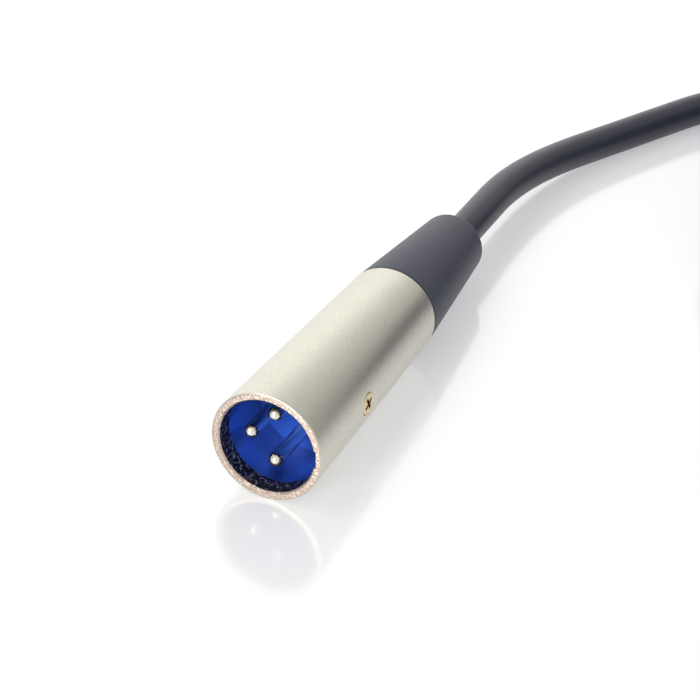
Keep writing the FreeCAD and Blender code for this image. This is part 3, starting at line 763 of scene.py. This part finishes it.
@dataclass
class FemaleShell:
    """The socket connector's barrel and tapered sleeve, with windows for its latch. Sizes in mm."""

    seat: Seat
    barrel: float = 7.95
    barrel_length: float = 14.5
    bore: float = 6.9
    front_radius: float = 9.5
    rear_radius: float = 8.3
    length: float = 55.0
    shoulder: float = 34.5
    rear_bore: float = 7.2
    edge: float = 0.35
    window_half: float = 2.8
    screw_station: float = 22.0
    screw_turn: float = 315.0
    sink_end: float = 2.9
    chamfer: float = 0.25

    def surface(self) -> float:
        """The shell's radius at the screw."""
        share = (self.screw_station - self.barrel_length) / (self.length - self.barrel_length)
        return self.front_radius - (self.front_radius - self.rear_radius) * share

    def build(self) -> bpy.types.Object:
        """Turn the shell, cut its windows and its screw hole, and lay it."""
        edge, length = self.edge, self.length
        outline = [(self.bore, self.chamfer), (self.bore + self.chamfer, 0.0)]
        outline += arc((self.barrel - edge, edge), edge, -90.0, 0.0)
        outline += [(self.barrel, self.barrel_length)]
        outline += arc((self.front_radius - edge, self.barrel_length + edge), edge, -90.0, 0.0)
        outline += rear_edge(self.rear_radius, length)
        outline += [(self.rear_bore, length), (self.rear_bore, self.shoulder),
                    (self.bore, self.shoulder)]
        shell = lathe("female_shell_skin", outline)
        dress(shell, SATIN_NICKEL.build())
        under = self.surface() - SCREW_SUNK - SCREW_HEAD_DEPTH
        sink = countersink("sink", self.screw_station, under, self.sink_end)
        sink.data.transform(Matrix.Rotation(math.radians(-self.screw_turn), 4, "Y"))
        cutters = [
            box_mesh("hook_window", (-1.9, 4.8, 5.0), (1.9, 8.7, 9.0)),
            box_mesh("button_window", (-self.window_half, 15.6, 5.0),
                     (self.window_half, 28.6, 12.0)),
            sink,
        ]
        carve(shell, cutters)
        self.seat.place(shell)
        return finished(shell, "lead", "shell", "female_shell")


# ---------------------------------------------------------------- repeated rows


def row_tree(material: bpy.types.Material) -> bpy.types.NodeTree:
    """A node tree that sets a straight row of small blocks. Count, step and size are its inputs.

    Args:
        material: what every block is made of.

    Returns:
        The geometry node tree.
    """
    tree = bpy.data.node_groups.new("row_of_" + material.name, "GeometryNodeTree")
    face = tree.interface
    face.new_socket("Geometry", in_out="INPUT", socket_type="NodeSocketGeometry")
    face.new_socket("Count", in_out="INPUT", socket_type="NodeSocketInt")
    for name in ("Start", "Step", "Size"):
        face.new_socket(name, in_out="INPUT", socket_type="NodeSocketVector")
    face.new_socket("Geometry", in_out="OUTPUT", socket_type="NodeSocketGeometry")
    given = add_node(tree, "NodeGroupInput")
    line = add_node(tree, "GeometryNodeMeshLine", {"mode": "OFFSET"},
                    {"Count": given.outputs["Count"], "Start Location": given.outputs["Start"],
                     "Offset": given.outputs["Step"]})
    block = add_node(tree, "GeometryNodeMeshCube", None, {"Size": given.outputs["Size"]})
    rows = add_node(tree, "GeometryNodeInstanceOnPoints", None,
                    {"Points": line.outputs["Mesh"], "Instance": block.outputs["Mesh"]})
    real = add_node(tree, "GeometryNodeRealizeInstances", None,
                    {"Geometry": rows.outputs["Instances"]})
    painted = add_node(tree, "GeometryNodeSetMaterial", {"Material": material},
                       {"Geometry": real.outputs["Geometry"]})
    add_node(tree, "NodeGroupOutput", None, {"Geometry": painted.outputs["Geometry"]})
    return tree


def block_row(name: str, material: bpy.types.Material, count: int, start: tuple, step: tuple,
              size: tuple) -> bpy.types.Object:
    """A row of blocks as a plain mesh, in the units of its sizes."""
    tree = row_tree(material)
    thing = mesh_object(name, bpy.data.meshes.new(name))
    row = thing.modifiers.new("row", "NODES")
    row.node_group = tree
    values = {"Count": count, "Start": start, "Step": step, "Size": size}
    for item in tree.interface.items_tree:
        if item.in_out == "INPUT" and item.name in values:
            row[item.identifier] = values[item.name]
    return baked(thing)


@dataclass
class LatchButton:
    """Grip ridges across the latch's thumb button. Sizes in mm."""

    seat: Seat
    first: float = 18.9
    step: float = 1.7
    count: int = 4
    base: float = 9.78
    size: tuple[float, float, float] = (4.9, 0.55, 0.6)

    def build(self) -> bpy.types.Object:
        """Plain ridges that ride on the lever."""
        ridges = block_row("latch_grip_ridges", LATCH_PLASTIC.build(), self.count,
                           (0.0, self.first + self.step / 2, self.base), (0.0, self.step, 0.0),
                           self.size)
        self.seat.place(ridges)
        return finished(ridges, "latch", "latch")


# ---------------------------------------------------------------- cable


@dataclass
class Lead:
    """The cable from boot to boot: out over the table, wound in layers, up to the socket connector.

    Lengths are in mm, but length_m is in metres. Angles and widths along the turns are in degrees.
    """

    diameter: float = 6.3
    length_m: float = 2.45
    run: tuple = (
        (0.0, 37.85, 7.59), (0.0, 50.3, 7.3), (-0.3, 62.3, 6.6), (1.0, 74.3, 5.35),
        (4.2, 85.9, 4.1), (9.2, 97.0, 3.35), (15.6, 109.2, 3.15), (22.1, 120.8, 3.15),
        (31.6, 129.0, 3.15), (43.8, 133.2, 3.15), (57.8, 134.2, 3.15),
    )
    tail: tuple = (
        (110.7, 88.75, 21.9), (109.9, 81.1, 19.9), (108.5, 73.7, 16.3), (106.8, 66.9, 12.1),
        (105.3, 59.8, 8.9), (104.4, 52.5, 7.3), (104.3, 45.36, 7.45),
    )
    centre: tuple = COIL_CENTRE
    outer_turn: float = 37.8
    start_angle: float = 90.0
    points_in_turn: int = 16
    across: int = 3
    layers: int = 4
    first_step: float = 250.0
    step_width: float = 100.0
    climb_width: float = 90.0
    climb_lead: float = 20.0
    layer_shift: float = 50.0
    strap_angle: float = STRAP_ANGLE
    strap_lift: float = 1.25
    strap_spread: float = 22.0

    def steps(self) -> tuple[list[tuple[float, float, float]], list[tuple[float, float, float]]]:
        """Where the turns step sideways and climb, as (start, end, amount) in degrees and mm."""
        sideways, climbs = [], []
        turn = 360.0
        window = self.first_step
        for layer in range(self.layers):
            inward = -1.0 if layer % 2 == 0 else 1.0
            for _ in range(self.across - 1):
                sideways.append((window, window + self.step_width, inward * self.diameter))
                window += turn
            climb = window - self.climb_lead
            climbs.append((climb, climb + self.climb_width, self.diameter))
            window += turn - self.layer_shift
        return sideways, climbs[:-1]

    def coil(self) -> list[tuple[float, float, float]]:
        """The turns, worked out step by step round the coil."""
        sideways, climbs = self.steps()
        turns = math.floor(sideways[-1][1] / 360.0)
        end = 360.0 * turns + self.start_angle
        if end < sideways[-1][1]:
            end += 360.0
        step = 360.0 / self.points_in_turn
        count = round(end / step)
        spread = 1.0 / math.cos(math.pi / self.points_in_turn)
        points = []
        for index in range(count + 1):
            wound = end * index / count
            radius = self.outer_turn
            radius += sum(amount * eased(wound, a, b) for a, b, amount in sideways)
            height = self.diameter / 2
            height += sum(amount * eased(wound, a, b) for a, b, amount in climbs)
            angle = self.start_angle - wound
            from_strap = (angle - self.strap_angle + 180.0) % 360.0 - 180.0
            lift = self.strap_lift * math.exp(-((from_strap / self.strap_spread) ** 2))
            reach = radius * (spread if 0 < index < count else 1.0)
            points.append((self.centre[0] + reach * math.cos(math.radians(angle)),
                           self.centre[1] + reach * math.sin(math.radians(angle)), height + lift))
        return points

    def build(self, with_pieces: list[bpy.types.Object]) -> bpy.types.Object:
        """Args:
            with_pieces: what is on the cable: its far connector's pieces and its strap. Not used.

        Returns:
            The cable.
        """
        points = list(self.run) + self.coil() + list(self.tail)
        curve = bpy.data.curves.new("cable_jacket", "CURVE")
        curve.dimensions = "3D"
        spline = curve.splines.new("NURBS")
        spline.points.add(len(points) - 1)
        for target, point in zip(spline.points, points):
            target.co = (point[0] * MM, point[1] * MM, point[2] * MM, 1.0)
        spline.order_u = 3
        spline.use_endpoint_u = True
        spline.resolution_u = 5
        curve.bevel_depth = self.diameter / 2 * MM
        curve.bevel_resolution = 10
        curve.use_fill_caps = True
        cable = bpy.data.objects.new("cable_jacket", curve)
        bpy.context.scene.collection.objects.link(cable)
        dress(cable, JACKET_PVC.build())
        finished(cable, "lead", "jacket", "cable_run", "cable_coil", "cable_tail")
        return cable


def eased(value: float, start: float, end: float) -> float:
    """0 before start, 1 after end, and between them a rise of two even bends."""
    share = min(1.0, max(0.0, (value - start) / (end - start)))
    return 2.0 * share * share if share < 0.5 else 1.0 - 2.0 * (1.0 - share) ** 2


@dataclass
class CoilStrap:
    """The hook-and-loop strap round the turns, its free end lapped on top. Sizes in mm."""

    centre: tuple = COIL_CENTRE
    angle: float = STRAP_ANGLE
    inner: float = 22.05
    outer: float = 40.95
    height: float = 26.4
    width: float = 14.0
    thickness: float = 1.1
    corner: float = 4.4
    bottom: float = 1.2
    edge: float = 0.25
    lap_inset: float = 0.3
    lap_thickness: float = 0.95

    def loop(self, grow: float) -> list[tuple[float, float]]:
        """The strap's path round the turns, as (distance from the coil's centre, height) points."""
        low_r, high_r = self.inner - grow, self.outer + grow
        low_z, high_z = self.bottom - grow, self.height + grow
        corner = self.corner + grow
        corners = [((high_r - corner, low_z + corner), -90.0),
                   ((high_r - corner, high_z - corner), 0.0),
                   ((low_r + corner, high_z - corner), 90.0),
                   ((low_r + corner, low_z + corner), 180.0)]
        points = []
        for middle, start in corners:
            points += arc(middle, corner, start, start + 90.0, 8)
        return points

    def build(self) -> bpy.types.Object:
        """Sweep the strap's flat section round the bundle; its lapped end is made by lap."""
        inside, outside = self.loop(0.0), self.loop(self.thickness)
        work = bmesh.new()
        rings = []
        half = self.width / 2
        flat = half - self.edge
        for near, far in zip(inside, outside):
            middle = midway(near, far)
            section = [(near, -flat), (near, flat), (middle, half), (far, flat), (far, -flat),
                       (middle, -half)]
            rings.append([work.verts.new((place[0], across, place[1]))
                          for place, across in section])
        for index, ring in enumerate(rings):
            following = rings[(index + 1) % len(rings)]
            for k in range(len(ring)):
                ahead = (k + 1) % len(ring)
                work.faces.new((ring[k], ring[ahead], following[ahead], following[k]))
        bmesh.ops.recalc_face_normals(work, faces=work.faces)
        mesh = bpy.data.meshes.new("coil_strap")
        work.to_mesh(mesh)
        work.free()
        soften(mesh)
        strap = mesh_object("coil_strap", mesh)
        self.lay(strap)
        dress(strap, STRAP.build())
        return finished(strap, "lead", "tie", "coil_tie")

    def lap(self) -> bpy.types.Object:
        """The strap's free end: a second layer on top that ends past the bundle's middle."""
        low = self.inner + 2.0
        high = self.outer - 2.5
        bottom = self.height + self.thickness - 0.15
        half = self.width / 2 - self.lap_inset
        end = box_mesh("coil_strap_end", (low, -half, bottom),
                       (high, half, bottom + self.lap_thickness), self.lap_inset)
        self.lay(end)
        dress(end, STRAP.build())
        return finished(end, "lead", "tie")

    def stitches(self) -> bpy.types.Object:
        """One row of thread across the strap's sewn end."""
        start = (self.inner + 4.0, -4.8, self.height + self.thickness + 0.82)
        rows = block_row("coil_strap_stitches", THREAD.build(), 7, start, (0.0, 1.6, 0.0),
                         (0.45, 1.1, 0.22))
        self.lay(rows)
        return finished(rows, "lead", "tie")

    def lay(self, thing: bpy.types.Object) -> None:
        """Turn a piece drawn along +X from the coil's centre to where the strap is."""
        turn = Matrix.Rotation(math.radians(self.angle), 4, "Z")
        move = Matrix.Translation((self.centre[0] * MM, self.centre[1] * MM, 0.0))
        thing.data.transform(move @ turn @ Matrix.Scale(MM, 4))


def midway(a: tuple[float, float], b: tuple[float, float]) -> tuple[float, float]:
    """The point halfway between two outline points."""
    return (a[0] + (b[0] - a[0]) * 0.5, a[1] + (b[1] - a[1]) * 0.5)


# ---------------------------------------------------------------- the whole lead


def dress_nodes(frame: dict) -> None:
    """Give every CAD node the finish of its record slot."""
    slots = {part["node"]: part["material_slot"] for part in frame["record"]["subparts"]}
    for name, node in frame["nodes"].items():
        dress(node, NODE_FINISHES[slots[name]].build())


def main() -> None:
    """Build the studio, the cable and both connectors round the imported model."""
    logging.basicConfig(level=logging.INFO, format="%(message)s")
    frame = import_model()
    Studio().build()
    dress_nodes(frame)
    male = Seat.from_mount(frame, "male_well")
    female = Seat.from_mount(frame, "female_nose")
    plug = MaleShell(male)
    plug.build()
    PinRow(male).build()
    ScrewHead("male", male, plug.screw_station, plug.surface() - SCREW_SUNK, 0.0, 4.6).build()
    BootPiece("male", male, plug.length).build()
    socket = FemaleShell(female)
    on_cable = [socket.build()]
    on_cable.append(ScrewHead("female", female, socket.screw_station,
                              socket.surface() - SCREW_SUNK, socket.screw_turn, 4.4).build())
    on_cable.append(BootPiece("female", female, socket.length).build())
    on_cable.append(LatchButton(female).build())
    strap = CoilStrap()
    on_cable += [strap.build(), strap.lap(), strap.stitches()]
    on_cable += [frame["nodes"][name] for name in (
        "female_insert", "female_contact_1", "female_contact_2", "female_contact_3", "latch_lever",
        "latch_pivot", "latch_spring", "female_ground_lug", "female_insulating_sleeve",
        "female_shield_drain",
        "female_wire_hot", "female_wire_cold", "female_solder_joints", "female_cable_clamp",
        "female_cable_stub")]
    Lead().build(on_cable)


if __name__ == "__main__":
    main()
